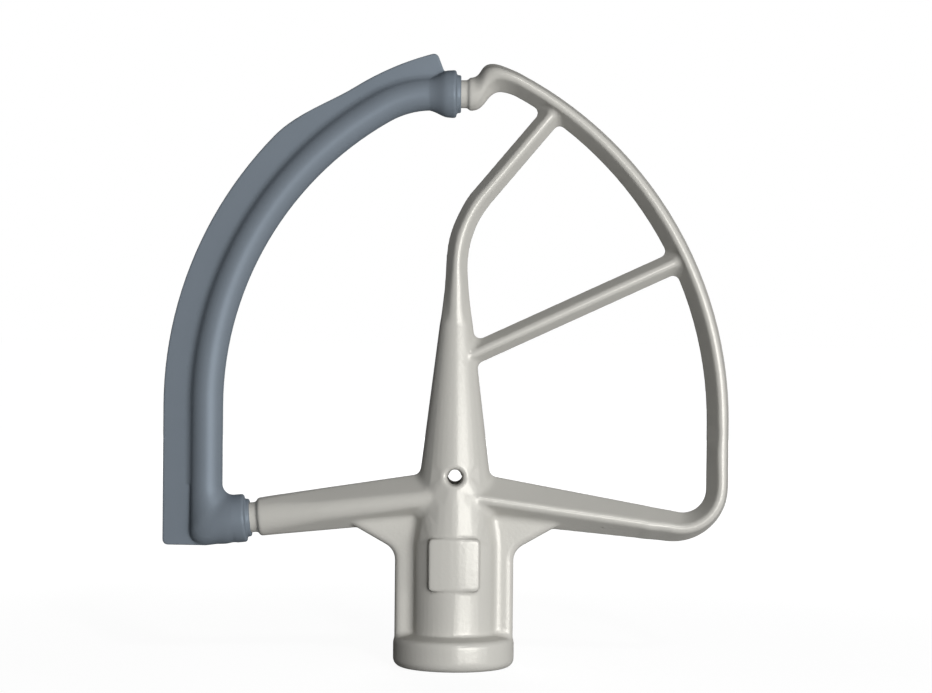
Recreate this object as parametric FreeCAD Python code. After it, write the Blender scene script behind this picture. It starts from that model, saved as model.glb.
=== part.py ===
"""Flat beater for a bowl-lift stand mixer: a coated casting with a soft wiper edge moulded over its left arc.

The beater stands on its hub: the origin is the middle of the socket's mouth, +Z runs up the socket's axis to
the blade, +X is the rim side and -Y is the front. Outlines are drawn in the parting plane, Y = 0.
"""

import FreeCAD, Part
import math
import os
from FreeCAD import Vector

# Hub, from the mouth up
RING_D = 34.2
RING_H = 8.2
RING_EDGE_R = 2.5
RING_TOP_R = 1.8
RING_RISE = 1.4
HUB_D = 24.5
HUB_H = 35.0
PAD_W = 14.4
PAD_H = 14.8
PAD_Z = 29.6
PAD_CORNER_R = 1.4
PAD_EDGE_R = 0.6
PAD_PROUD = 0.45
PAD_CROWN_R = 34.3

# Drive socket, its pin slot and the drain hole at its blind end
SOCKET_D = 13.0
SOCKET_DEPTH = 54.0
SLOT_W = 5.4
SLOT_REACH = 10.4
SLOT_TOP = 27.0
LATCH_H = 6.0
LATCH_DEG = 62.0
DRAIN_D = 4.6
DRAIN_WAIST_D = 3.4
DRAIN_EDGE_R = 1.1

# Webs beside the hub
WEB_REACH = 16.7
WEB_T = 7.6
WEB_EDGE_R = 1.7
WEB_ROOT_R = 2.0
WEB_CORNER_R = 5.0
GUSSET_DEG = 29.5
GUSSET_Z = 33.1

# Turn of the round faces, so that their seams lie away from the webs, the slot and the drain hole
HUB_SEAM_DEG = 62.0
SOCKET_SEAM_DEG = 75.0

# Stem
STEM_TAPER_DEG = 7.0
STEM_EASE = 1.65
STEM_NOSE_R = 3.2
STEM_SIDE_R = 2.6
CONE_TOP_Z = 97.0

# Arms: where their edges meet the hub's axis, and how they fall away from it
ARM_TOP_Z = 55.9
ARM_BOTTOM_Z = 41.75
RIGHT_ARM_TOP_DEG = 10.4
LEFT_ARM_TOP_DEG = 8.9
ARM_BOTTOM_DEG = 5.5
ARM_DEPTH = 18.0
ARM_NOSE_R = 1.7
ARM_SIDE_R = 1.0
ARM_ROOT_R = 2.2
ARM_START_X = 2.0
ARM_SWELL = 0.08
LEFT_NOSE_R = 2.8
MELT_L = 18.0
MELT_DEPTH = 1.17
MELT_NOSE = 0.6
MELT_SIDE = 0.42
NEARLY_ROUND = 0.95

# Rim
RIM_REACH = 77.3
RIM_W = 6.3
RIM_DEPTH = 13.6
RIM_RIDGE = 0.62
RIM_SIDE_R = 1.2
RIM_ARC_R = 110.7
RIM_ARC_Z = 69.35
RIM_PAST = 9.85
CORNER_OUT_R = 15.5
CORNER_IN_R = 6.5
CORNER_RUN = 9.0

# Diagonal bar and brace
BAR_W = 6.2
BAR_DEPTH = 9.2
BAR_SIDE_R = 0.6
NOSE_R = 1.4
BEND_Z = 113.15
BEND_R = 31.1
BEND_DEG = 40.0
BRACE_Z = 86.15
BRACE_START_X = 1.0
BRACE_DEG = 24.9
JOIN_R = 1.9

# Arc bar inside the soft edge, with the thicker necks that show at its ends
CORE_D = 6.4
NECK_D = 8.5
NECK_IN = 2.7
NECK_ROOT = 3.0
NECK_LEAN_DEG = 5.2
ELBOW_R = 7.0
SHOULDER_X = 55.6
SHOULDER_R = 1.0

# Hook at the free end of the rim: for what share of their way its edges hold the directions of their ends
HOOK_NECK_D = 7.9
HOOK_NECK_IN = 4.5
HOOK_END_R = 4.7
HOOK_EDGE_R = 0.6
LOW_LEAVE = 0.86
LOW_ARRIVE = 0.41
HIGH_LEAVE = 1.16
HIGH_ARRIVE = 0.29

# Soft edge
SLEEVE_D = 9.4
SLEEVE_REACH = 70.4
SLEEVE_ARC_R = 97.6
SLEEVE_ARC_Z = 73.35
TOP_TURN_DEG = 30.0
TOP_BEND_R = 28.6
FIN_REACH = 12.15
FIN_PAST = 3.0
FIN_ROOT_T = 3.0
FIN_TIP_T = 1.5
FIN_ROOT_R = 2.6
FIN_BOTTOM_Z = 33.7
FIN_STEP = 3.5
FIN_END_DROP = 0.9
FIN_STEP_FROM_DEG = 136.0
FIN_STEP_TO_DEG = 122.0
FIN_END_LEAN_DEG = 21.0
FIN_CORNER_R = 1.5
FIN_END_BACK = 1.1
CUFF_D = 13.6
CUFF_L = 6.8
CUFF_EDGE_R = 0.7
FLARE_L = 9.2
FLARE_FOOT = 0.28
FLARE_TOP = 0.65
FLARE_IN_R = 10.0
FLARE_OUT_R = 5.0
FLARE_SINK = 0.25
FLARE_LIFT = 0.15
CUFF_DRAFT = 0.2
COLLAR_D = 10.7
COLLAR_L = 1.3
COLLAR_EDGE_R = 0.3
NECK_SHOW = 2.1
KNEE_R = 3.0
KNEE_OUT_R = 4.0
KNEE_STEPS = 12

UP = Vector(0, 0, 1)
DEEP = Vector(0, 1, 0)
ORIGIN = Vector(0, 0, 0)

# Where the arcs of a round section start and end, in degrees from its outer edge
SECTION_STOPS = [-20, 20, 50, 130, 160, 200, 230, 310, 340]


def tan(degrees):
    return math.tan(math.radians(degrees))


def heading(degrees):
    """Unit vector in the parting plane, measured from +X toward +Z."""
    angle = math.radians(degrees)
    return Vector(math.cos(angle), 0, math.sin(angle))


def mix(a, b, share):
    return a + (b - a) * share


def run_to_circle(start, along, centre, radius):
    """Distance from a point inside a circle to the circle, along a direction."""
    offset = start - centre
    side = offset.dot(along)
    return -side + math.sqrt(side ** 2 - offset.dot(offset) + radius ** 2)


def edge_curve(start, leaving, end, arriving, leave, arrive):
    """Curve from one point to another that holds the directions of its ends for two shares of the way."""
    span = (end - start).Length
    curve = Part.BezierCurve()
    curve.setPoles([start, start + leaving * (span * leave), end - arriving * (span * arrive), end])
    return curve


def ease(share):
    return share * share * (3 - 2 * share)


def rounded(points, radii):
    """Closed outline through the points, each corner rounded by its radius."""
    count = len(points)
    cuts = []
    for i, (corner, radius) in enumerate(zip(points, radii)):
        back = (points[i - 1] - corner).normalize()
        ahead = (points[(i + 1) % count] - corner).normalize()
        half = back.getAngle(ahead) / 2
        run = radius / math.tan(half)
        start, end = corner + back * run, corner + ahead * run
        bisector = (back + ahead).normalize()
        middle = corner + bisector * (radius / math.sin(half) - radius)
        cuts.append((start, middle, end, radius))
    edges = []
    for i, (start, middle, end, radius) in enumerate(cuts):
        if radius > 0:
            edges.append(Part.Arc(start, middle, end).toShape())
        edges.append(Part.LineSegment(end, cuts[(i + 1) % count][0]).toShape())
    return Part.Wire(edges)


def spin(points, radii, base, axis, degrees=360):
    """Solid of revolution of a rounded outline."""
    return Part.Face(rounded(points, radii)).revolve(base, axis, degrees)


def bar_section(inner, outer, depth, nose_r, side_r, ridge=0.5):
    """Section of a bar between two points of the parting plane: the outline around four circles.

    Two circles round the bar's edges, the other two its front and back ridges. Ridge is the share of the way
    from the inner to the outer edge.
    """
    across = (outer - inner).normalize()
    ridge_at = mix(inner, outer, ridge)
    lift = DEEP * (depth / 2 - nose_r)
    circles = [
        (outer - across * side_r, side_r),
        (ridge_at + lift, nose_r),
        (inner + across * side_r, side_r),
        (ridge_at - lift, nose_r),
    ]
    normals = []
    for (a, ra), (b, rb) in zip(circles, circles[1:] + circles[:1]):
        along = (b - a).normalize()
        lean = (ra - rb) / (b - a).Length
        side = across * along.dot(DEEP) - DEEP * along.dot(across)
        normals.append(along * lean + side * math.sqrt(1 - lean * lean))
    edges = []
    for i, (centre, radius) in enumerate(circles):
        before, after = normals[i - 1], normals[i]
        middle = (before + after).normalize()
        end = centre + after * radius
        next_centre, next_radius = circles[(i + 1) % 4]
        edges.append(Part.Arc(centre + before * radius, centre + middle * radius, end).toShape())
        edges.append(Part.LineSegment(end, next_centre + after * next_radius).toShape())
    return Part.Wire(edges)


def oval_section(inner, outer, depth):
    """Oval in eight arcs, split where a bar section has its corners."""
    centre, half = (inner + outer) * 0.5, (outer - inner) * 0.5
    edges = []
    for start, end in zip(SECTION_STOPS, SECTION_STOPS[1:]):
        points = []
        for degrees in (start, (start + end) / 2, end):
            angle = math.radians(degrees)
            points.append(centre + half * math.cos(angle) + DEEP * (depth / 2 * math.sin(angle)))
        edges.append(Part.Arc(*points).toShape())
    return Part.Wire(edges)


def round_section(centre, radius, across):
    """Circle, split as the oval section is."""
    return oval_section(centre - across * radius, centre + across * radius, radius * 2)


def loft(sections, ruled=False):
    return Part.makeLoft(sections, True, ruled, False, 3)


def blend(a, b, radius):
    """Join two solids and round the whole line where their surfaces meet."""
    joined = a.fuse(b)
    meeting = []
    for edge in joined.Edges:
        middle = Part.Vertex(edge.valueAt(edge.getParameterByLength(edge.Length / 2)))
        if max(a.Shells[0].distToShape(middle)[0], b.Shells[0].distToShape(middle)[0]) < 1e-4:
            meeting.append(edge)
    return joined.makeFillet(radius, meeting)


def shoulder(face, along, radius, edge_r):
    """Disc with a rounded edge, its flat face at the given point and its body along the direction."""
    side = DEEP.cross(along) * radius
    back = along * edge_r
    corners = [face, face + side, face + side + back, face + back]
    return spin(corners, [0, edge_r * NEARLY_ROUND, 0, 0], face, along)


def stem_radius(z):
    return HUB_D / 2 - (z - HUB_H) * tan(STEM_TAPER_DEG)


def arm_edges(x):
    """Top and bottom points of an arm at one distance from the axis, right of it or left of it."""
    top_deg = RIGHT_ARM_TOP_DEG if x > 0 else LEFT_ARM_TOP_DEG
    top = Vector(x, 0, ARM_TOP_Z - abs(x) * tan(top_deg))
    bottom = Vector(x, 0, ARM_BOTTOM_Z - abs(x) * tan(ARM_BOTTOM_DEG))
    return top, bottom


# Places that several pieces share
RIM_CENTRE = Vector(RIM_REACH - RIM_ARC_R, 0, RIM_ARC_Z)
RIM_MID_R = RIM_ARC_R - RIM_W / 2
BEND_CENTRE = Vector(BEND_R, 0, BEND_Z)
DIAGONAL_ALONG = heading(90 - BEND_DEG)
DIAGONAL_START = BEND_CENTRE + heading(180 - BEND_DEG) * BEND_R
DIAGONAL_L = run_to_circle(DIAGONAL_START, DIAGONAL_ALONG, RIM_CENTRE, RIM_MID_R)
DIAGONAL_END = DIAGONAL_START + DIAGONAL_ALONG * DIAGONAL_L - RIM_CENTRE
RIM_ARC_DEG = math.degrees(math.atan2(DIAGONAL_END.z, DIAGONAL_END.x) + RIM_PAST / RIM_MID_R)
SLEEVE_CENTRE = Vector(SLEEVE_ARC_R - SLEEVE_REACH, 0, SLEEVE_ARC_Z)
TURN_START = SLEEVE_CENTRE + heading(90 + TOP_TURN_DEG) * SLEEVE_ARC_R
TURN_CENTRE = TURN_START - heading(90 + TOP_TURN_DEG) * TOP_BEND_R
TURN_END = TURN_CENTRE + UP * TOP_BEND_R
CUFF_X = TURN_END.x + CUFF_L
FIN_END_X = CUFF_X - FIN_END_BACK
HOOK_NECK = Vector(CUFF_X + COLLAR_L + NECK_SHOW, 0, TURN_END.z)
ARM_LEAN_DEG = math.degrees(math.atan((tan(LEFT_ARM_TOP_DEG) + tan(ARM_BOTTOM_DEG)) / 2))
NECK_AXIS = heading(NECK_LEAN_DEG)
NECK_ACROSS = heading(NECK_LEAN_DEG + 90)
SHOULDER = mix(*arm_edges(-SHOULDER_X), 0.5)
KNEE = SHOULDER - NECK_AXIS * ((SLEEVE_REACH - SHOULDER_X) / NECK_AXIS.x)
KNEE_IN_X = SLEEVE_D / 2 + KNEE_R - SLEEVE_REACH
KNEE_RUN = (KNEE_IN_X - KNEE.x - NECK_ACROSS.x * (CUFF_D / 2 + KNEE_R)) / NECK_AXIS.x
KNEE_IN = KNEE + NECK_AXIS * KNEE_RUN + NECK_ACROSS * (CUFF_D / 2 + KNEE_R)


def make_hub():
    """Ring, hub cylinder and stem cone in one turn, its seam turned away from the webs and the drain hole."""
    top_r = stem_radius(CONE_TOP_Z)
    points = [
        ORIGIN,
        Vector(RING_D / 2, 0, 0),
        Vector(RING_D / 2, 0, RING_H),
        Vector(HUB_D / 2, 0, RING_H + RING_RISE),
        Vector(HUB_D / 2, 0, HUB_H),
        Vector(top_r, 0, CONE_TOP_Z),
        Vector(0, 0, CONE_TOP_Z),
    ]
    hub = spin(points, [0, RING_EDGE_R, RING_TOP_R, 0, 0, 0, 0], ORIGIN, UP)
    hub.rotate(ORIGIN, UP, HUB_SEAM_DEG)
    return hub


def make_webs():
    """Flat webs in the parting plane, from inside the ring out to gussets under both arms."""
    def gusset_tip(side):
        arm_slope = (tan(RIGHT_ARM_TOP_DEG if side > 0 else LEFT_ARM_TOP_DEG) + tan(ARM_BOTTOM_DEG)) / 2
        mid_z = (ARM_TOP_Z + ARM_BOTTOM_Z) / 2
        x = (mid_z - GUSSET_Z + WEB_REACH * tan(GUSSET_DEG)) / (tan(GUSSET_DEG) + arm_slope)
        return Vector(side * x, 0, mid_z - x * arm_slope)

    outline = [
        Vector(WEB_REACH, 0, RING_H / 2),
        Vector(WEB_REACH, 0, GUSSET_Z),
        gusset_tip(1),
        Vector(0, 0, (ARM_TOP_Z + ARM_BOTTOM_Z) / 2),
        gusset_tip(-1),
        Vector(-WEB_REACH, 0, GUSSET_Z),
        Vector(-WEB_REACH, 0, RING_H / 2),
    ]
    wire = rounded(outline, [0, WEB_CORNER_R, 0, 0, 0, WEB_CORNER_R, 0])
    wire.translate(DEEP * (-WEB_T / 2))
    webs = Part.Face(wire).extrude(DEEP * WEB_T)
    rounded_edges = []
    for edge in webs.Edges:
        middle = edge.valueAt(edge.getParameterByLength(edge.Length / 2))
        on_face = abs(abs(middle.y) - WEB_T / 2) < 1e-6
        under_arm = abs(middle.x) > WEB_REACH - 1e-6
        if on_face and under_arm:
            rounded_edges.append(edge)
    return webs.makeFillet(WEB_EDGE_R, rounded_edges)


def make_right_arm(end_section):
    root = bar_section(*arm_edges(ARM_START_X), ARM_DEPTH, ARM_NOSE_R, ARM_SIDE_R)
    return loft([root, end_section], True)


def make_left_arm():
    """Crowned arm whose ridges melt into a round shoulder behind the lower neck."""
    along = heading(ARM_LEAN_DEG)
    across = heading(ARM_LEAN_DEG + 90)

    def half_height(back):
        top, bottom = arm_edges(SHOULDER.x + back)
        return (top - bottom).Length / 2

    def section(share):
        """Section of the melting stretch, from its start at the arm to its round end."""
        back = mix(MELT_L, SHOULDER_R, share)
        middle = SHOULDER + along * back
        half = half_height(back)
        depth = half * 2 * mix(MELT_DEPTH, 1, share)
        nose_r = half * mix(MELT_NOSE, 1, share)
        side_r = half * mix(MELT_SIDE, 1, share)
        return bar_section(middle + across * half, middle - across * half, depth, nose_r, side_r)

    root = bar_section(*arm_edges(-ARM_START_X), ARM_DEPTH, LEFT_NOSE_R, ARM_SIDE_R)
    arm = loft([root, section(0)], True)
    full = half_height(SHOULDER_R)
    end = round_section(SHOULDER + NECK_AXIS * SHOULDER_R, full, NECK_ACROSS * -1)
    melt = loft([section(0), section(0.25), section(0.5), section(0.75), end])
    return arm, melt, shoulder(SHOULDER, NECK_AXIS, full, SHOULDER_R)


def corner_sections():
    """Sections from the end of the right arm round the corner into the rim."""
    in_x = RIM_REACH - RIM_W - CORNER_IN_R
    out_x = RIM_REACH - CORNER_OUT_R
    in_lift = CORNER_IN_R / math.cos(math.radians(RIGHT_ARM_TOP_DEG))
    out_lift = CORNER_OUT_R / math.cos(math.radians(ARM_BOTTOM_DEG))
    in_centre = arm_edges(in_x)[0] + UP * in_lift
    out_centre = arm_edges(out_x)[1] + UP * out_lift
    in_start = in_centre + heading(-90 - RIGHT_ARM_TOP_DEG) * CORNER_IN_R
    out_start = out_centre + heading(-90 - ARM_BOTTOM_DEG) * CORNER_OUT_R
    sections = []
    for run in (CORNER_RUN, CORNER_RUN / 2):
        inner = in_start + heading(180 - RIGHT_ARM_TOP_DEG) * run
        outer = out_start + heading(180 - ARM_BOTTOM_DEG) * run
        sections.append(bar_section(inner, outer, RIM_DEPTH + run * ARM_SWELL, ARM_NOSE_R, RIM_SIDE_R))
    for share in (0.0, 0.2, 0.4, 0.6, 0.8, 1.0):
        inner = in_centre + heading((-90 - RIGHT_ARM_TOP_DEG) * (1 - share)) * CORNER_IN_R
        outer = out_centre + heading((-90 - ARM_BOTTOM_DEG) * (1 - share)) * CORNER_OUT_R
        nose_r = mix(ARM_NOSE_R, NOSE_R, share)
        ridge = mix(0.5, RIM_RIDGE, share)
        sections.append(bar_section(inner, outer, RIM_DEPTH, nose_r, RIM_SIDE_R, ridge))
    for share in (0.35, 0.7, 1.0):
        z = mix(in_centre.z, RIM_ARC_Z, share)
        inner, outer = Vector(RIM_REACH - RIM_W, 0, z), Vector(RIM_REACH, 0, z)
        sections.append(bar_section(inner, outer, RIM_DEPTH, NOSE_R, RIM_SIDE_R, RIM_RIDGE))
    return sections


def rim_section(degrees):
    inner = RIM_CENTRE + heading(degrees) * (RIM_ARC_R - RIM_W)
    outer = RIM_CENTRE + heading(degrees) * RIM_ARC_R
    return bar_section(inner, outer, RIM_DEPTH, NOSE_R, RIM_SIDE_R, RIM_RIDGE)


def make_hook():
    """Free end of the rim, which thickens and drops in a hook to the round shoulder of the upper neck."""
    leaving = heading(RIM_ARC_DEG + 90)
    arriving = Vector(-1, 0, 0)
    end = HOOK_NECK - arriving * HOOK_EDGE_R
    inner = RIM_CENTRE + heading(RIM_ARC_DEG) * (RIM_ARC_R - RIM_W)
    outer = RIM_CENTRE + heading(RIM_ARC_DEG) * RIM_ARC_R
    low = edge_curve(inner, leaving, end - UP * HOOK_END_R, arriving, LOW_LEAVE, LOW_ARRIVE)
    high = edge_curve(outer, leaving, end + UP * HOOK_END_R, arriving, HIGH_LEAVE, HIGH_ARRIVE)
    sections = []
    for share in (0.0, 0.05, 0.12, 0.24, 0.36, 0.48, 0.6, 0.72, 0.84, 0.93):
        rounding = ease(share)
        depth = mix(RIM_DEPTH, HOOK_END_R * 2, rounding)
        nose_r = mix(NOSE_R, HOOK_END_R * NEARLY_ROUND, rounding)
        side_r = mix(RIM_SIDE_R, HOOK_END_R * NEARLY_ROUND, rounding)
        ridge = mix(RIM_RIDGE, 0.5, rounding)
        sections.append(bar_section(low.value(share), high.value(share), depth, nose_r, side_r, ridge))
    sections.append(round_section(end, HOOK_END_R, UP))
    return loft(sections), shoulder(HOOK_NECK, arriving * -1, HOOK_END_R, HOOK_EDGE_R)


def make_diagonal():
    """Thin upper stem, its bend and the diagonal bar, ending on the middle of the rim."""
    sections = [round_section(Vector(0, 0, CONE_TOP_Z), stem_radius(CONE_TOP_Z), Vector(1, 0, 0))]
    half = BAR_W / 2
    start_half = stem_radius(CONE_TOP_Z)
    for share in (0.25, 0.5, 0.75, 1.0):
        z = mix(CONE_TOP_Z, BEND_Z, share)
        wide = mix(start_half, half, 1 - (1 - share) ** STEM_EASE)
        nose_r = mix(STEM_NOSE_R, NOSE_R, share)
        side_r = mix(STEM_SIDE_R, BAR_SIDE_R, share)
        deep = mix(start_half * 2, BAR_DEPTH, share)
        sections.append(bar_section(Vector(-wide, 0, z), Vector(wide, 0, z), deep, nose_r, side_r))
    for share in (0.25, 0.5, 0.75, 1.0):
        outward = heading(180 - BEND_DEG * share)
        left = BEND_CENTRE + outward * (BEND_R + half)
        right = BEND_CENTRE + outward * (BEND_R - half)
        sections.append(bar_section(left, right, BAR_DEPTH, NOSE_R, BAR_SIDE_R))
    across = heading(180 - BEND_DEG) * half
    section = bar_section(DIAGONAL_START + across, DIAGONAL_START - across, BAR_DEPTH, NOSE_R, BAR_SIDE_R)
    return loft(sections), Part.Face(section).extrude(DIAGONAL_ALONG * DIAGONAL_L)


def make_brace():
    along = heading(BRACE_DEG)
    across = heading(BRACE_DEG + 90) * (BAR_W / 2)
    start = Vector(BRACE_START_X, 0, BRACE_Z + BRACE_START_X * tan(BRACE_DEG))
    section = bar_section(start + across, start - across, BAR_DEPTH, NOSE_R, BAR_SIDE_R)
    return Part.Face(section).extrude(along * run_to_circle(start, along, RIM_CENTRE, RIM_MID_R))


def disc(centre, normal, radius):
    return Part.Face(Part.Wire(Part.makeCircle(radius, centre, normal)))


def make_core():
    """Round bar under the soft edge: up from the lower neck, along the big arc and over to the upper neck."""
    radius = CORE_D / 2
    run = ELBOW_R * tan((90 + NECK_LEAN_DEG) / 2)
    elbow_low = KNEE + NECK_AXIS * run
    elbow_high = KNEE + UP * run
    elbow_centre = elbow_high + Vector(ELBOW_R, 0, 0)
    inside = SHOULDER + NECK_AXIS * NECK_ROOT
    neck_l = NECK_ROOT + NECK_SHOW + COLLAR_L + NECK_IN
    lower_neck = disc(inside, NECK_AXIS, NECK_D / 2).extrude(NECK_AXIS * -neck_l)
    lower = disc(inside, NECK_AXIS, radius).extrude(elbow_low - inside)
    elbow = disc(elbow_high, UP, radius).revolve(elbow_centre, DEEP * -1, 90 + NECK_LEAN_DEG)
    riser = disc(elbow_high, UP, radius).extrude(UP * (SLEEVE_ARC_Z - elbow_high.z))
    start = SLEEVE_CENTRE - Vector(SLEEVE_ARC_R, 0, 0)
    arc = disc(start, UP, radius).revolve(SLEEVE_CENTRE, DEEP, 90 - TOP_TURN_DEG)
    turn = disc(TURN_START, heading(TOP_TURN_DEG), radius).revolve(TURN_CENTRE, DEEP, TOP_TURN_DEG)
    along = Vector(1, 0, 0)
    upper = disc(TURN_END, along, radius).extrude(along * (HOOK_NECK.x - TURN_END.x + NECK_ROOT))
    neck_start = HOOK_NECK - along * (NECK_SHOW + COLLAR_L + HOOK_NECK_IN)
    upper_neck = disc(neck_start, along, HOOK_NECK_D / 2).extrude(HOOK_NECK + along * NECK_ROOT - neck_start)
    return lower_neck.fuse([lower, elbow, riser, arc, turn, upper, upper_neck])


def make_pad():
    """Raised crowned pad on the front of the hub."""
    low, high = PAD_Z - PAD_H / 2, PAD_Z + PAD_H / 2
    corners = [Vector(-PAD_W / 2, 0, low), Vector(PAD_W / 2, 0, low), Vector(PAD_W / 2, 0, high)]
    corners.append(Vector(-PAD_W / 2, 0, high))
    block = Part.Face(rounded(corners, [PAD_CORNER_R] * 4)).extrude(DEEP * (-HUB_D))
    crown_y = PAD_CROWN_R - HUB_D / 2 - PAD_PROUD
    crown = Part.makeCylinder(PAD_CROWN_R, PAD_H + 4, Vector(0, crown_y, low - 2))
    pad = block.common(crown)
    rims = []
    for edge in pad.Edges:
        middle = edge.valueAt(edge.getParameterByLength(edge.Length / 2))
        on_crown = abs((middle - Vector(0, crown_y, middle.z)).Length - PAD_CROWN_R) < 1e-5
        if on_crown and middle.y < 0:
            rims.append(edge)
    return pad.makeFillet(PAD_EDGE_R, rims)


def cut_hub(frame):
    """Drive socket with its pin slot and latch turn, and the drain hole through its blind end."""
    socket = Part.makeCylinder(SOCKET_D / 2, SOCKET_DEPTH)
    socket.rotate(ORIGIN, UP, SOCKET_SEAM_DEG)
    slot = Part.makeBox(SLOT_REACH, SLOT_W, SLOT_TOP + 1, Vector(0, -SLOT_W / 2, -1))
    reach = Part.makeCylinder(SLOT_REACH, SLOT_TOP + 2, Vector(0, 0, -1), UP, 360)
    latch = Part.makeCylinder(SLOT_REACH, LATCH_H, Vector(0, 0, SLOT_TOP - LATCH_H), UP, LATCH_DEG)
    frame = frame.cut([socket, slot.common(reach), latch])
    draft = (DRAIN_D - DRAIN_WAIST_D) / 2 / stem_radius(SOCKET_DEPTH)
    wide_r = DRAIN_WAIST_D / 2 + draft * HUB_D
    for side in (DEEP, DEEP * -1):
        frame = frame.cut(Part.makeCone(DRAIN_WAIST_D / 2, wide_r, HUB_D, Vector(0, 0, SOCKET_DEPTH), side))
    mouths = []
    for edge in frame.Edges:
        box = edge.BoundBox
        outside = min(abs(box.YMin), abs(box.YMax)) > SOCKET_D / 2 + 1
        round_drain = abs(box.Center.z - SOCKET_DEPTH) < DRAIN_D and abs(box.Center.x) < DRAIN_D / 2
        if outside and round_drain and max(box.XLength, box.ZLength) < DRAIN_D + 0.2:
            mouths.append(edge)
    return frame.makeFillet(DRAIN_EDGE_R, mouths)


def make_frame():
    left_arm, left_melt, left_shoulder = make_left_arm()
    corner = corner_sections()
    neck, diagonal = make_diagonal()
    frame = blend(make_hub(), make_webs(), WEB_ROOT_R)
    frame = blend(frame, left_arm, ARM_ROOT_R)
    frame = blend(frame, make_right_arm(corner[0]), ARM_ROOT_R)
    rim = Part.Face(rim_section(0)).revolve(RIM_CENTRE, DEEP * -1, RIM_ARC_DEG)
    rim = blend(rim, make_brace(), JOIN_R)
    rim = blend(rim, diagonal, JOIN_R)
    frame = blend(frame, rim, JOIN_R)
    hook, hook_shoulder = make_hook()
    ends = [neck, loft(corner), left_melt, left_shoulder, hook, hook_shoulder, make_core(), make_pad()]
    for end in ends:
        frame = frame.fuse(end)
    return cut_hub(frame)


def sleeve_profile(centre, outward):
    """Round sleeve with the fin on its outer side, in one outline; the fin is trimmed later."""
    radius = SLEEVE_D / 2
    slope = (FIN_TIP_T - FIN_ROOT_T) / 2 / (FIN_REACH - radius)
    root = Vector(radius, FIN_ROOT_T / 2, 0)
    along = Vector(1, slope, 0).normalize()
    normal = Vector(-slope, 1, 0).normalize()
    base = root + normal * FIN_ROOT_R
    centre_r = base + along * run_to_circle(base, along, ORIGIN, radius + FIN_ROOT_R)
    on_fin = centre_r - normal * FIN_ROOT_R
    on_sleeve = centre_r * (radius / (radius + FIN_ROOT_R))
    middle = centre_r + ((on_fin - centre_r) + (on_sleeve - centre_r)).normalize() * FIN_ROOT_R
    reach = FIN_REACH + FIN_PAST
    tip = Vector(reach, FIN_ROOT_T / 2 + slope * (reach - radius), 0)

    def place(point, mirror=1):
        return centre + outward * point.x + DEEP * (point.y * mirror)

    return Part.Wire([
        Part.LineSegment(place(tip), place(on_fin)).toShape(),
        Part.Arc(place(on_fin), place(middle), place(on_sleeve)).toShape(),
        Part.Arc(place(on_sleeve), centre - outward * radius, place(on_sleeve, -1)).toShape(),
        Part.Arc(place(on_sleeve, -1), place(middle, -1), place(on_fin, -1)).toShape(),
        Part.LineSegment(place(on_fin, -1), place(tip, -1)).toShape(),
        Part.LineSegment(place(tip, -1), place(tip)).toShape(),
    ])


def fin_trim():
    """Everything inside the fin's outer edge: a block with the edge's outline, step and rounded end."""
    outer_r = SLEEVE_ARC_R + FIN_REACH
    inner_r = outer_r - FIN_STEP
    end_along = heading(90 + FIN_END_LEAN_DEG)
    end_foot = Vector(FIN_END_X, 0, TURN_END.z)
    end_r = inner_r - FIN_END_DROP
    end_top = end_foot + end_along * run_to_circle(end_foot, end_along, SLEEVE_CENTRE, end_r)
    end_deg = math.degrees(math.atan2(end_top.z - SLEEVE_CENTRE.z, end_top.x - SLEEVE_CENTRE.x))

    def at(radius, degrees):
        return SLEEVE_CENTRE + heading(degrees) * radius

    step_mid = at(outer_r - FIN_STEP / 2, (FIN_STEP_FROM_DEG + FIN_STEP_TO_DEG) / 2)
    past_step = at(inner_r - FIN_END_DROP * 0.25, (FIN_STEP_TO_DEG + end_deg) / 2)
    step = Part.BSplineCurve()
    step.interpolate(
        Points=[at(outer_r, FIN_STEP_FROM_DEG), step_mid, at(inner_r, FIN_STEP_TO_DEG)],
        InitialTangent=heading(FIN_STEP_FROM_DEG - 90), FinalTangent=heading(FIN_STEP_TO_DEG - 90))
    arc_mid = at(outer_r, (180 + FIN_STEP_FROM_DEG) / 2)
    side_x = SLEEVE_CENTRE.x - outer_r
    corner = Vector(side_x, 0, FIN_BOTTOM_Z)
    far_corner = Vector(FIN_END_X, 0, FIN_BOTTOM_Z)
    outline = Part.Wire([
        Part.LineSegment(corner, at(outer_r, 180)).toShape(),
        Part.Arc(at(outer_r, 180), arc_mid, at(outer_r, FIN_STEP_FROM_DEG)).toShape(),
        step.toShape(),
        Part.Arc(at(inner_r, FIN_STEP_TO_DEG), past_step, end_top).toShape(),
        Part.LineSegment(end_top, end_foot).toShape(),
        Part.LineSegment(end_foot, far_corner).toShape(),
        Part.LineSegment(far_corner, corner).toShape(),
    ])
    outline.translate(DEEP * -CUFF_D)
    block = Part.Face(outline).extrude(DEEP * (CUFF_D * 2))
    tips = []
    for edge in block.Edges:
        middle = edge.valueAt(edge.getParameterByLength(edge.Length / 2))
        if abs(middle.y) < 1e-6 and min((middle - end_top).Length, (middle - corner).Length) < 1e-6:
            tips.append(edge)
    return block.makeFillet(FIN_CORNER_R, tips)


def make_low_fin():
    """Fin beside the knee, in line with the fin on the riser above it."""
    slope = (FIN_TIP_T - FIN_ROOT_T) / 2 / (FIN_REACH - SLEEVE_D / 2)
    reach = FIN_REACH + FIN_PAST
    root_y = FIN_ROOT_T / 2 - slope * SLEEVE_D / 2
    tip_y = root_y + slope * reach
    corners = [Vector(0, root_y), Vector(-reach, tip_y), Vector(-reach, -tip_y), Vector(0, -root_y)]
    outline = rounded(corners, [0, 0, 0, 0])
    outline.translate(Vector(-SLEEVE_REACH, 0, FIN_BOTTOM_Z - 1))
    return Part.Face(outline).extrude(UP * (KNEE_IN.z - FIN_BOTTOM_Z + 1))


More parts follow.
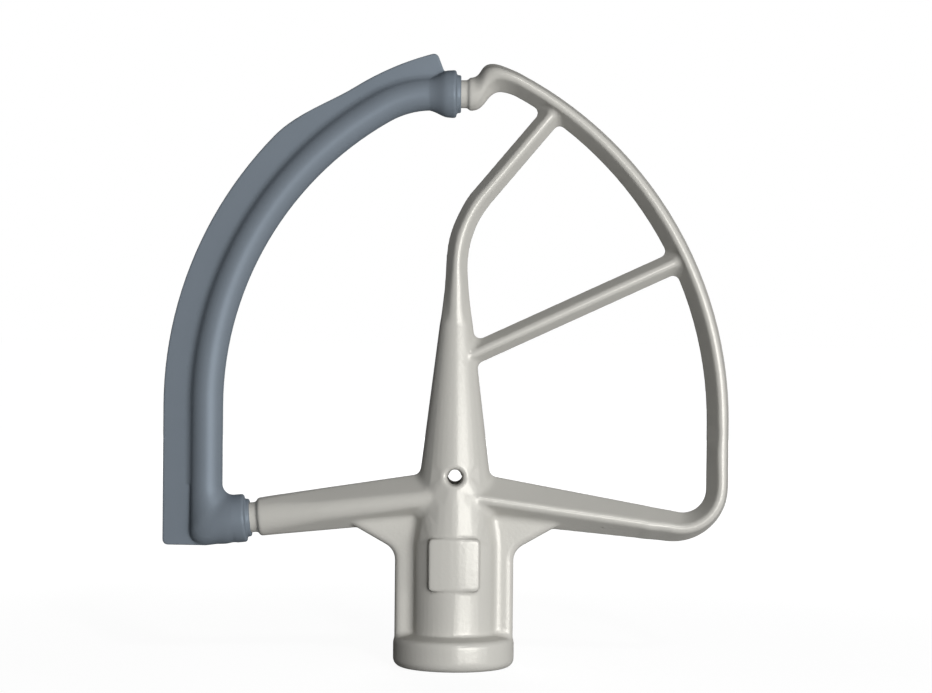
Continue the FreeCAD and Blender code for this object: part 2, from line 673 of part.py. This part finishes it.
def make_knee():
    """Elbow of the soft edge: sections fan out from the round riser to the wider cuff of the lower neck."""
    radius, cuff_r = SLEEVE_D / 2, CUFF_D / 2
    drop = cuff_r - KNEE_OUT_R
    out_x = KNEE_OUT_R - SLEEVE_REACH - radius
    out_run = (out_x - KNEE.x + NECK_ACROSS.x * drop) / NECK_AXIS.x
    out_centre = KNEE + NECK_AXIS * out_run - NECK_ACROSS * drop
    turn_deg = 90 + NECK_LEAN_DEG
    side_l = KNEE_IN.z - out_centre.z
    corner_l = KNEE_OUT_R * math.radians(turn_deg)
    foot_l = (KNEE_IN - out_centre).dot(NECK_AXIS)

    def outer(run):
        """Point on the knee's outer edge: down the side, round the corner and along the underside."""
        if run < side_l:
            return out_centre + Vector(-KNEE_OUT_R, 0, side_l - run)
        if run < side_l + corner_l:
            return out_centre + heading(180 + turn_deg * (run - side_l) / corner_l) * KNEE_OUT_R
        return out_centre - NECK_ACROSS * KNEE_OUT_R + NECK_AXIS * (run - side_l - corner_l)

    sections = []
    for step in range(KNEE_STEPS + 1):
        share = step / KNEE_STEPS
        inner = KNEE_IN + heading(180 + turn_deg * share) * KNEE_R
        depth = mix(SLEEVE_D, CUFF_D, ease(share))
        sections.append(oval_section(inner, outer((side_l + corner_l + foot_l) * share), depth))
    return loft(sections)


def make_cuffs():
    """Straight cuff with its collar beside the knee, and the flared one that meets the hook."""
    radius, cuff_r, collar_r = SLEEVE_D / 2, CUFF_D / 2, COLLAR_D / 2
    face_at = (SHOULDER - KNEE).dot(NECK_AXIS) - NECK_SHOW - COLLAR_L

    def on_arm(run, out):
        return KNEE + NECK_AXIS * run + NECK_ACROSS * out

    def on_top(x, out):
        return Vector(x, 0, TURN_END.z + out)

    lower = spin(
        [on_arm(KNEE_RUN, 0), on_arm(KNEE_RUN, cuff_r), on_arm(face_at, cuff_r), on_arm(face_at, collar_r),
         on_arm(face_at + COLLAR_L, collar_r), on_arm(face_at + COLLAR_L, 0)],
        [0, 0, CUFF_EDGE_R, 0, COLLAR_EDGE_R, 0], KNEE, NECK_AXIS)
    flare_x = CUFF_X - FLARE_L
    upper = spin(
        [on_top(flare_x, 0), on_top(flare_x, radius - FLARE_SINK),
         on_top(mix(flare_x, CUFF_X, FLARE_FOOT), radius + FLARE_LIFT),
         on_top(mix(flare_x, CUFF_X, FLARE_TOP), cuff_r - CUFF_DRAFT), on_top(CUFF_X, cuff_r),
         on_top(CUFF_X, collar_r), on_top(CUFF_X + COLLAR_L, collar_r), on_top(CUFF_X + COLLAR_L, 0)],
        [0, 0, FLARE_IN_R, FLARE_OUT_R, CUFF_EDGE_R, 0, COLLAR_EDGE_R, 0], TURN_END, Vector(1, 0, 0))
    return lower, upper


def make_edge():
    """Soft edge: sleeve and fin along the arc, a round knee below and a flared cuff at the hook."""
    left = Vector(-1, 0, 0)
    start = SLEEVE_CENTRE + left * SLEEVE_ARC_R
    foot = Vector(start.x, 0, KNEE_IN.z)
    turn_out = heading(90 + TOP_TURN_DEG)
    riser = Part.Face(sleeve_profile(foot, left)).extrude(start - foot)
    arc = Part.Face(sleeve_profile(start, left)).revolve(SLEEVE_CENTRE, DEEP, 90 - TOP_TURN_DEG)
    turn = Part.Face(sleeve_profile(TURN_START, turn_out)).revolve(TURN_CENTRE, DEEP, TOP_TURN_DEG)
    top = Part.Face(sleeve_profile(TURN_END, UP)).extrude(Vector(FIN_END_X - TURN_END.x + 1, 0, 0))
    edge = riser.fuse([arc, turn, top, make_low_fin()]).common(fin_trim())
    for piece in (make_knee(), *make_cuffs()):
        edge = edge.fuse(piece)
    return edge.cut(make_core())


def main():
    os.makedirs("parts", exist_ok=True)
    make_frame().exportStep("parts/cast_frame.step")
    make_edge().exportStep("parts/flex_edge.step")


main()
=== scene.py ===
"""Finish and studio for a stand mixer's flat beater: a pearl coat on the casting and matte silicone on its edge."""

import math
from typing import NamedTuple

import bmesh
import bpy
from bpy.props import FloatProperty, FloatVectorProperty, IntProperty, PointerProperty
from mathutils import Matrix, Vector


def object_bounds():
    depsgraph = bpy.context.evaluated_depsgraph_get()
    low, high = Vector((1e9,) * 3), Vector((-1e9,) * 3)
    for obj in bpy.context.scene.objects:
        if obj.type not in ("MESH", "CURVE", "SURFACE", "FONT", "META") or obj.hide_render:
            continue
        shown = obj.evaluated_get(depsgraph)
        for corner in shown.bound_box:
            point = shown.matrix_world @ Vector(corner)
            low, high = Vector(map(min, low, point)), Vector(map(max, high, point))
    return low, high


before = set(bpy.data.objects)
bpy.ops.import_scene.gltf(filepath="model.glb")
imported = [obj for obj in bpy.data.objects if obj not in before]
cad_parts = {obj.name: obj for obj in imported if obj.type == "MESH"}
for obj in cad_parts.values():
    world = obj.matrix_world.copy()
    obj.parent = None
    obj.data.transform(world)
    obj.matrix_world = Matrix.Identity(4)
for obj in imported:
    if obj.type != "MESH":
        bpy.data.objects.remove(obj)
CAD_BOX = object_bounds()

# The photograph's frame, in pixels, and the usual sensor width, in millimetres
PHOTO_W = 932
SENSOR_W = 36.0

# Finishes: scale of the mottling over the grain's, how far it shifts each colour, and the edge tint of the gloss
MOTTLE_SCALE = 0.06
COAT_MOTTLE = 0.02
SILICONE_MOTTLE = 0.03
GLOSS_TINT = (0.4, 0.4, 0.4, 1.0)

# Skin over a CAD node: distance in metres under which its loose corners are joined, and strength of one softening pass
WELD_REACH = 1e-6
SOFTEN_STRENGTH = 0.5

# Floor, in metres: its radius and the ring over which it turns from pale to pure white
FLOOR_RADIUS = 6.0
FLOOR_PALE_REACH = 0.1
FLOOR_WHITE_REACH = 0.45
FLOOR_PALE = 0.93
FLOOR_TONE = (0.15, 0.15, 0.15, 1.0)


class Lamp(NamedTuple):
    """Softbox around the aim: size and distance in metres, turn to the right of the front and lift in degrees."""

    width: float
    height: float
    turn: float
    lift: float
    distance: float
    gleams: bool = True


LAMPS = {
    "key": Lamp(width=0.72, height=0.42, turn=27.0, lift=0.0, distance=1.0),
    "side": Lamp(width=0.3, height=0.42, turn=57.0, lift=0.0, distance=1.0),
    "top": Lamp(width=0.09, height=0.09, turn=15.0, lift=34.0, distance=1.0),
    "back": Lamp(width=0.8, height=0.8, turn=180.0, lift=12.0, distance=1.3, gleams=False),
}

bl_info = {
    "name": "Flat beater finish",
    "version": (1, 0, 0),
    "blender": (4, 5, 0),
    "location": "View3D > Sidebar > Beater",
    "description": "Coats the casting, finishes the soft edge and sets the studio for a flat beater",
    "category": "Object",
}


class CoatSettings(bpy.types.PropertyGroup):
    """Baked coat on the casting."""

    colour: FloatVectorProperty(
        name="Coat colour", description="Warm pearl grey of the baked coat", subtype="COLOR",
        size=3, min=0.0, max=1.0, default=(0.525, 0.515, 0.48))
    roughness: FloatProperty(
        name="Roughness", description="Roughness of the coat", subtype="FACTOR", min=0.0, max=1.0, default=0.25)
    pearl: FloatProperty(
        name="Pearl", description="Share of mirror flakes in the coat", subtype="FACTOR",
        min=0.0, max=1.0, default=0.1)
    peel_size: FloatProperty(
        name="Orange peel size", description="Width of one ripple in the coat", subtype="DISTANCE", unit="LENGTH",
        min=0.0001, default=0.0009)
    peel_depth: FloatProperty(
        name="Orange peel depth", description="Height of the ripples in the coat", subtype="DISTANCE", unit="LENGTH",
        min=0.0, default=0.00003)
    skin_grid: FloatProperty(
        name="Skin grid", description="Grid that the coat's skin is laid over the casting with", subtype="DISTANCE",
        unit="LENGTH", min=0.0002, default=0.00036)
    softening: IntProperty(
        name="Softening", description="Passes that round the casting's edges under the coat", min=0, default=6)
    thinning: FloatProperty(
        name="Thinning", description="Share of the skin's triangles that is kept", subtype="FACTOR",
        min=0.1, max=1.0, default=0.34)


class EdgeSettings(bpy.types.PropertyGroup):
    """Moulded silicone edge."""

    colour: FloatVectorProperty(
        name="Silicone colour", description="Blue grey of the silicone", subtype="COLOR",
        size=3, min=0.0, max=1.0, default=(0.175, 0.205, 0.238))
    roughness: FloatProperty(
        name="Roughness", description="Roughness of the silicone", subtype="FACTOR",
        min=0.0, max=1.0, default=0.42)
    gleam: FloatProperty(
        name="Gleam", description="Strength of the silicone's soft highlight", subtype="FACTOR",
        min=0.0, max=1.0, default=0.13)
    grain_size: FloatProperty(
        name="Grain size", description="Width of the grain that the mould leaves", subtype="DISTANCE", unit="LENGTH",
        min=0.0001, default=0.0006)
    grain_depth: FloatProperty(
        name="Grain depth", description="Height of the mould's grain", subtype="DISTANCE", unit="LENGTH",
        min=0.0, default=0.000008)
    skin_grid: FloatProperty(
        name="Skin grid", description="Grid that the moulding's skin is laid with", subtype="DISTANCE",
        unit="LENGTH", min=0.0002, default=0.0003)
    softening: IntProperty(
        name="Softening", description="Passes that round the moulding's edges", min=0, default=2)
    thinning: FloatProperty(
        name="Thinning", description="Share of the skin's triangles that is kept", subtype="FACTOR",
        min=0.1, max=1.0, default=0.5)


class StageSettings(bpy.types.PropertyGroup):
    """Studio around the beater."""

    aim: FloatVectorProperty(
        name="Aim", description="Point that the middle of the picture shows", subtype="TRANSLATION",
        size=3, default=(0.0028, 0.0, 0.0905))
    view_distance: FloatProperty(
        name="Camera distance", description="From the camera to the aim", subtype="DISTANCE", unit="LENGTH",
        min=0.2, default=0.8)
    view_turn: FloatProperty(
        name="Camera turn", description="How far the camera stands to the right of the front", subtype="ANGLE",
        unit="ROTATION", default=0.0)
    view_height: FloatProperty(
        name="Camera height", description="How far the camera looks down", subtype="ANGLE", unit="ROTATION",
        default=math.radians(0.9))
    view_roll: FloatProperty(
        name="Camera roll", description="Lean of the beater in the picture", subtype="ANGLE", unit="ROTATION",
        default=math.radians(0.53))
    pixel: FloatProperty(
        name="Pixel", description="Width of one of the photograph's pixels at the aim", subtype="DISTANCE",
        unit="LENGTH", default=0.00028263)
    key_level: FloatProperty(
        name="Key light", description="Brightness of the tall softbox right of the camera", min=0.0, default=9.8)
    side_level: FloatProperty(
        name="Side light", description="Brightness of the wide panel further right", min=0.0, default=3.5)
    top_level: FloatProperty(
        name="Top light", description="Brightness of the small panel above the camera", min=0.0, default=60.0)
    back_level: FloatProperty(
        name="Back light", description="Brightness of the panel behind the beater", min=0.0, default=5.0)
    fill_level: FloatProperty(
        name="Fill light", description="Brightness of the room around the beater", min=0.0, default=0.02)


def fresh_nodes(material):
    """Node tree of a material or world, emptied."""
    material.use_nodes = True
    material.node_tree.nodes.clear()
    return material.node_tree.nodes, material.node_tree.links


def grain_group():
    """Ripples and mottling of a moulded or coated surface, shared by both finishes."""
    group = bpy.data.node_groups.new("Surface grain", "ShaderNodeTree")
    group.interface.new_socket("Vector", in_out="INPUT", socket_type="NodeSocketVector")
    group.interface.new_socket("Fine scale", in_out="INPUT", socket_type="NodeSocketFloat")
    group.interface.new_socket("Broad scale", in_out="INPUT", socket_type="NodeSocketFloat")
    group.interface.new_socket("Height", in_out="OUTPUT", socket_type="NodeSocketFloat")
    group.interface.new_socket("Mottle", in_out="OUTPUT", socket_type="NodeSocketFloat")
    nodes, links = group.nodes, group.links
    source = nodes.new("NodeGroupInput")
    target = nodes.new("NodeGroupOutput")
    fine = nodes.new("ShaderNodeTexNoise")
    fine.inputs["Detail"].default_value = 2.0
    broad = nodes.new("ShaderNodeTexNoise")
    broad.inputs["Detail"].default_value = 3.0
    for texture, scale in ((fine, "Fine scale"), (broad, "Broad scale")):
        links.new(source.outputs["Vector"], texture.inputs["Vector"])
        links.new(source.outputs[scale], texture.inputs["Scale"])
    links.new(fine.outputs["Fac"], target.inputs["Height"])
    links.new(broad.outputs["Fac"], target.inputs["Mottle"])
    return group


def grained_shader(name, grain, size, depth, colour, variation):
    """Material whose grain bends the surface and whose mottling shifts its colour a little."""
    material = bpy.data.materials.new(name)
    nodes, links = fresh_nodes(material)
    output = nodes.new("ShaderNodeOutputMaterial")
    shader = nodes.new("ShaderNodeBsdfPrincipled")
    place = nodes.new("ShaderNodeTexCoord")
    surface = nodes.new("ShaderNodeGroup")
    surface.node_tree = grain
    surface.inputs["Fine scale"].default_value = 1.0 / size
    surface.inputs["Broad scale"].default_value = MOTTLE_SCALE / size
    bump = nodes.new("ShaderNodeBump")
    bump.inputs["Strength"].default_value = 1.0
    bump.inputs["Distance"].default_value = depth
    tone = nodes.new("ShaderNodeMix")
    tone.data_type = "RGBA"
    tone.inputs["A"].default_value = [c * (1 - variation) for c in colour] + [1.0]
    tone.inputs["B"].default_value = [c * (1 + variation) for c in colour] + [1.0]
    links.new(place.outputs["Object"], surface.inputs["Vector"])
    links.new(surface.outputs["Height"], bump.inputs["Height"])
    links.new(surface.outputs["Mottle"], tone.inputs["Factor"])
    links.new(tone.outputs["Result"], shader.inputs["Base Color"])
    links.new(bump.outputs["Normal"], shader.inputs["Normal"])
    links.new(shader.outputs["BSDF"], output.inputs["Surface"])
    return material, shader


def gloss(shader, roughness, strength):
    """Soft highlight in the surface's own colour."""
    shader.inputs["Roughness"].default_value = roughness
    shader.inputs["Metallic"].default_value = strength
    shader.inputs["Specular IOR Level"].default_value = 0.0
    shader.inputs["Specular Tint"].default_value = GLOSS_TINT


def coat_material(settings, grain):
    """Warm pearl grey coat with a fine orange peel."""
    material, shader = grained_shader(
        "Pearl coat", grain, settings.peel_size, settings.peel_depth, settings.colour, COAT_MOTTLE)
    gloss(shader, settings.roughness, settings.pearl)
    return material


def silicone_material(settings, grain):
    """Matte blue grey silicone with the mould's fine grain."""
    material, shader = grained_shader(
        "Blue grey silicone", grain, settings.grain_size, settings.grain_depth, settings.colour, SILICONE_MOTTLE)
    gloss(shader, settings.roughness, settings.gleam)
    return material


def wear(node_name, material):
    """Give a CAD node its finish in place of the plain one."""
    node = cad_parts[node_name]
    node.data.materials.clear()
    node.data.materials.append(material)
    return node


def soften(node, grid, passes, kept):
    """Lay an even skin over a node's loose triangles, round its edges and thin it where it is flat."""
    weld = node.modifiers.new("Weld", "WELD")
    weld.merge_threshold = WELD_REACH
    skin = node.modifiers.new("Skin", "REMESH")
    skin.mode = "VOXEL"
    skin.voxel_size = grid
    skin.use_smooth_shade = True
    smooth = node.modifiers.new("Soften", "SMOOTH")
    smooth.factor = SOFTEN_STRENGTH
    smooth.iterations = passes
    thin = node.modifiers.new("Thin", "DECIMATE")
    thin.ratio = kept


def around(centre, turn, height, distance):
    """Point at a distance from the centre, turned to the right of the front and raised."""
    flat = math.cos(height)
    return centre + Vector((math.sin(turn) * flat, -math.cos(turn) * flat, math.sin(height))) * distance


def face(obj, place, target, roll=0.0):
    """Put a lamp or camera at a place, looking at the target."""
    look = (target - place).to_track_quat("-Z", "Y").to_matrix().to_4x4()
    obj.matrix_world = Matrix.Translation(place) @ look @ Matrix.Rotation(roll, 4, "Z")


def softbox(name, level, lamp, target):
    """Area lamp of one brightness, whatever its size."""
    light = bpy.data.lights.new(name, "AREA")
    light.shape = "RECTANGLE"
    light.size = lamp.width
    light.size_y = lamp.height
    light.energy = level * math.pi * lamp.width * lamp.height
    obj = bpy.data.objects.new(name, light)
    bpy.context.scene.collection.objects.link(obj)
    obj.visible_camera = False
    obj.visible_glossy = lamp.gleams
    face(obj, around(target, math.radians(lamp.turn), math.radians(lamp.lift), lamp.distance), target)


def seen_directly(nodes, links):
    """1 for rays from the camera, from gloss and through glass, else 0."""
    path = nodes.new("ShaderNodeLightPath")
    total = None
    for ray in ("Is Camera Ray", "Is Glossy Ray", "Is Transmission Ray"):
        if total is None:
            total = path.outputs[ray]
            continue
        either = nodes.new("ShaderNodeMath")
        either.operation = "MAXIMUM"
        links.new(total, either.inputs[0])
        links.new(path.outputs[ray], either.inputs[1])
        total = either.outputs["Value"]
    return total


def white_room(fill_level):
    """World that is white to look at and gives a soft fill."""
    world = bpy.data.worlds.new("White room")
    bpy.context.scene.world = world
    nodes, links = fresh_nodes(world)
    fill = nodes.new("ShaderNodeBackground")
    fill.inputs["Strength"].default_value = fill_level
    white = nodes.new("ShaderNodeBackground")
    mixed = nodes.new("ShaderNodeMixShader")
    output = nodes.new("ShaderNodeOutputWorld")
    for background in (fill, white):
        background.inputs["Color"].default_value = (1.0, 1.0, 1.0, 1.0)
    links.new(seen_directly(nodes, links), mixed.inputs["Fac"])
    links.new(fill.outputs["Background"], mixed.inputs[1])
    links.new(white.outputs["Background"], mixed.inputs[2])
    links.new(mixed.outputs["Shader"], output.inputs["Surface"])


def floor_material():
    """Pale floor that turns white away from the beater and keeps its shadow near it."""
    material = bpy.data.materials.new("Pale floor")
    nodes, links = fresh_nodes(material)
    matte = nodes.new("ShaderNodeBsdfDiffuse")
    matte.inputs["Color"].default_value = FLOOR_TONE
    place = nodes.new("ShaderNodeTexCoord")
    reach = nodes.new("ShaderNodeVectorMath")
    reach.operation = "LENGTH"
    fade = nodes.new("ShaderNodeMapRange")
    fade.interpolation_type = "SMOOTHSTEP"
    fade.inputs["From Min"].default_value = FLOOR_PALE_REACH
    fade.inputs["From Max"].default_value = FLOOR_WHITE_REACH
    fade.inputs["To Min"].default_value = FLOOR_PALE
    fade.inputs["To Max"].default_value = 1.0
    shown = nodes.new("ShaderNodeMath")
    shown.operation = "MULTIPLY"
    glow = nodes.new("ShaderNodeEmission")
    total = nodes.new("ShaderNodeAddShader")
    output = nodes.new("ShaderNodeOutputMaterial")
    links.new(place.outputs["Object"], reach.inputs[0])
    links.new(reach.outputs["Value"], fade.inputs["Value"])
    links.new(fade.outputs["Result"], shown.inputs[0])
    links.new(seen_directly(nodes, links), shown.inputs[1])
    links.new(shown.outputs["Value"], glow.inputs["Strength"])
    links.new(matte.outputs["BSDF"], total.inputs[0])
    links.new(glow.outputs["Emission"], total.inputs[1])
    links.new(total.outputs["Shader"], output.inputs["Surface"])
    return material


def lay_floor(radius):
    """Round floor under the beater."""
    shape = bmesh.new()
    bmesh.ops.create_circle(shape, cap_ends=True, segments=128, radius=radius)
    bmesh.ops.translate(shape, verts=shape.verts, vec=(0.0, 0.0, CAD_BOX[0].z))
    mesh = bpy.data.meshes.new("floor")
    shape.to_mesh(mesh)
    shape.free()
    mesh.materials.append(floor_material())
    floor = bpy.data.objects.new("floor", mesh)
    bpy.context.scene.collection.objects.link(floor)
    floor.visible_glossy = False
    floor.visible_shadow = False


def place_camera(settings):
    """Camera at the photograph's viewing angle and framing."""
    lens = bpy.data.cameras.new("Camera")
    lens.sensor_width = SENSOR_W
    lens.lens = SENSOR_W * settings.view_distance / (settings.pixel * PHOTO_W)
    camera = bpy.data.objects.new("Camera", lens)
    bpy.context.scene.collection.objects.link(camera)
    aim = Vector(settings.aim)
    face(camera, around(aim, settings.view_turn, settings.view_height, settings.view_distance), aim,
         settings.view_roll)
    bpy.context.scene.camera = camera


class BEATER_OT_coat_frame(bpy.types.Operator):
    """Coat the cast frame and round its edges as the coat does"""

    bl_idname = "beater.coat_frame"
    bl_label = "Coat the cast frame"

    def execute(self, context):
        settings = context.scene.beater_coat
        node = wear("cast_frame", coat_material(settings, bpy.data.node_groups["Surface grain"]))
        soften(node, settings.skin_grid, settings.softening, settings.thinning)
        return {"FINISHED"}


class BEATER_OT_finish_edge(bpy.types.Operator):
    """Give the soft edge its matte silicone"""

    bl_idname = "beater.finish_edge"
    bl_label = "Finish the soft edge"

    def execute(self, context):
        settings = context.scene.beater_edge
        node = wear("flex_edge", silicone_material(settings, bpy.data.node_groups["Surface grain"]))
        soften(node, settings.skin_grid, settings.softening, settings.thinning)
        return {"FINISHED"}


class BEATER_OT_build_stage(bpy.types.Operator):
    """Set the floor, the lamps, the white room and the camera"""

    bl_idname = "beater.build_stage"
    bl_label = "Build the stage"

    def execute(self, context):
        settings = context.scene.beater_stage
        aim = Vector(settings.aim)
        context.scene.view_settings.view_transform = "Standard"
        lay_floor(FLOOR_RADIUS)
        white_room(settings.fill_level)
        for name, lamp in LAMPS.items():
            softbox(name, getattr(settings, f"{name}_level"), lamp, aim)
        place_camera(settings)
        return {"FINISHED"}


class BEATER_PT_panel(bpy.types.Panel):
    """Finishes and stage of the beater"""

    bl_idname = "BEATER_PT_panel"
    bl_label = "Flat beater"
    bl_space_type = "VIEW_3D"
    bl_region_type = "UI"
    bl_category = "Beater"

    def draw(self, context):
        for settings, operator in (
            (context.scene.beater_coat, BEATER_OT_coat_frame),
            (context.scene.beater_edge, BEATER_OT_finish_edge),
            (context.scene.beater_stage, BEATER_OT_build_stage),
        ):
            box = self.layout.box()
            for name in settings.__annotations__:
                box.prop(settings, name)
            box.operator(operator.bl_idname)


CLASSES = (
    CoatSettings,
    EdgeSettings,
    StageSettings,
    BEATER_OT_coat_frame,
    BEATER_OT_finish_edge,
    BEATER_OT_build_stage,
    BEATER_PT_panel,
)


def register():
    for cls in CLASSES:
        bpy.utils.register_class(cls)
    bpy.types.Scene.beater_coat = PointerProperty(type=CoatSettings)
    bpy.types.Scene.beater_edge = PointerProperty(type=EdgeSettings)
    bpy.types.Scene.beater_stage = PointerProperty(type=StageSettings)


def unregister():
    del bpy.types.Scene.beater_stage
    del bpy.types.Scene.beater_edge
    del bpy.types.Scene.beater_coat
    for cls in reversed(CLASSES):
        bpy.utils.unregister_class(cls)


def main():
    register()
    grain_group()
    bpy.ops.beater.coat_frame()
    bpy.ops.beater.finish_edge()
    bpy.ops.beater.build_stage()


if __name__ == "__main__":
    main()
